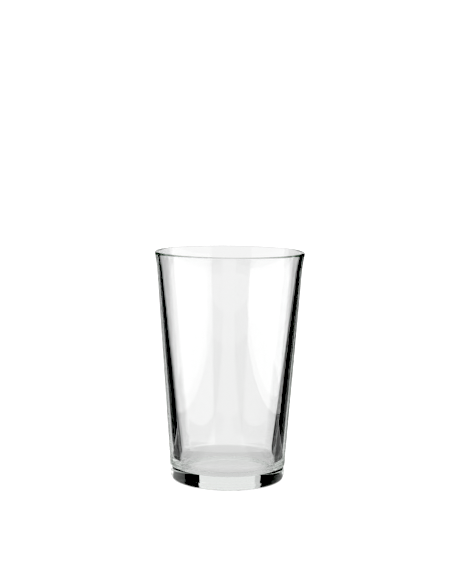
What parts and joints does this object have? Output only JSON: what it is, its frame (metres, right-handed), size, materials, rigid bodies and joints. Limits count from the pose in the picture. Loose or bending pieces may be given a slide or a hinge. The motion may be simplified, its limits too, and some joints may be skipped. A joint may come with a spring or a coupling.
{
  "type": "pint glass",
  "caption": "Conical pint glass in clear pressed glass, with a rounded lip, walls that thicken towards the foot and a heavy solid base.",
  "frame": {"origin": "on the glass's axis, in the plane that the foot ring stands on", "axes": "+Z along the glass's axis, from the foot up to the rim; the glass is round, so +X and +Y are any two square directions across it"},
  "size_m": [0.0886, 0.0886, 0.136],
  "materials": {
    "clear_glass": "fire-polished, clear with a faint green-grey tint in thick sections"
  },
  "bodies": {
    "root": {"tumbler": "clear_glass"}
  },
  "joints": []
}
